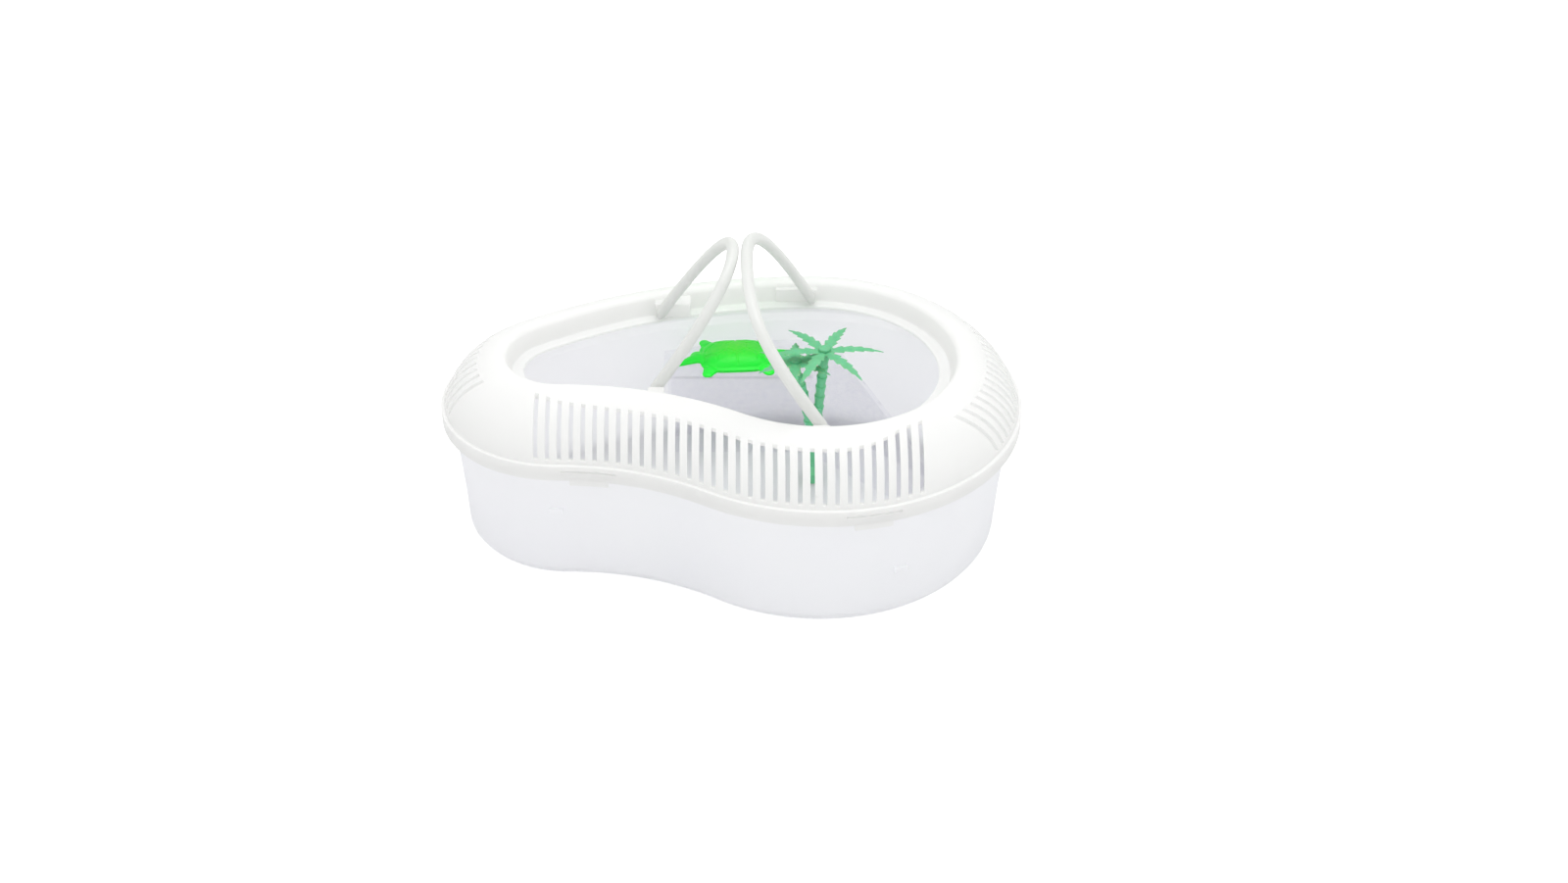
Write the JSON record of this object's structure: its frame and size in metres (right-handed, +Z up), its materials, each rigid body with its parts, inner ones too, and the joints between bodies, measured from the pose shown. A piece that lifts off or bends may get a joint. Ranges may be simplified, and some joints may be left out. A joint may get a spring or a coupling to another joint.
{
  "type": "pet keeper",
  "caption": "Kidney-shaped translucent plastic tub with a vented lid, two folding bail handles, a basking platform with ramp, a removable palm and a turtle figure",
  "frame": {"origin": "on the table, under the middle of the lid's outline", "axes": "+X along the length towards the big lobe, +Y to the back, away from the drawn-in waist, +Z up"},
  "size_m": [0.33, 0.233, 0.1728],
  "materials": {
    "tub_plastic": "moulded translucent polypropylene with a faint lavender grey cast",
    "lid_plastic": "moulded milky white polypropylene, satin",
    "handle_plastic": "moulded milky white polypropylene, satin",
    "platform_plastic": "clear moulded polystyrene",
    "trunk_plastic": "moulded soft green plastic",
    "frond_plastic": "moulded soft green plastic, slightly see-through",
    "turtle_plastic": "moulded bright green plastic"
  },
  "bodies": {
    "tub": {"tub": "tub_plastic", "basking_platform": "platform_plastic", "turtle": "turtle_plastic"},
    "lid": {"lid": "lid_plastic"},
    "handle_left": {"handle_left": "handle_plastic"},
    "handle_right": {"handle_right": "handle_plastic"},
    "palm": {"palm_trunk": "trunk_plastic", "palm_crown_tall": "frond_plastic", "palm_crown_short": "frond_plastic"}
  },
  "joints": [
    {"name": "lid_lift", "type": "slide", "parent": "tub", "child": "lid", "axis": [0, 0, 1], "range_m": [0, 0.1]},
    {"name": "handle_left_fold", "type": "hinge", "parent": "lid", "child": "handle_left", "pos_m": [-0.0415, 0.0095, 0.107], "axis": [0, -1, 0], "range_deg": [0, 103]},
    {"name": "handle_right_fold", "type": "hinge", "parent": "lid", "child": "handle_right", "pos_m": [0.0475, 0, 0.107], "axis": [0, 1, 0], "range_deg": [0, 106]},
    {"name": "palm_lift", "type": "slide", "parent": "tub", "child": "palm", "axis": [0, 0, 1], "range_m": [0, 0.18]}
  ]
}
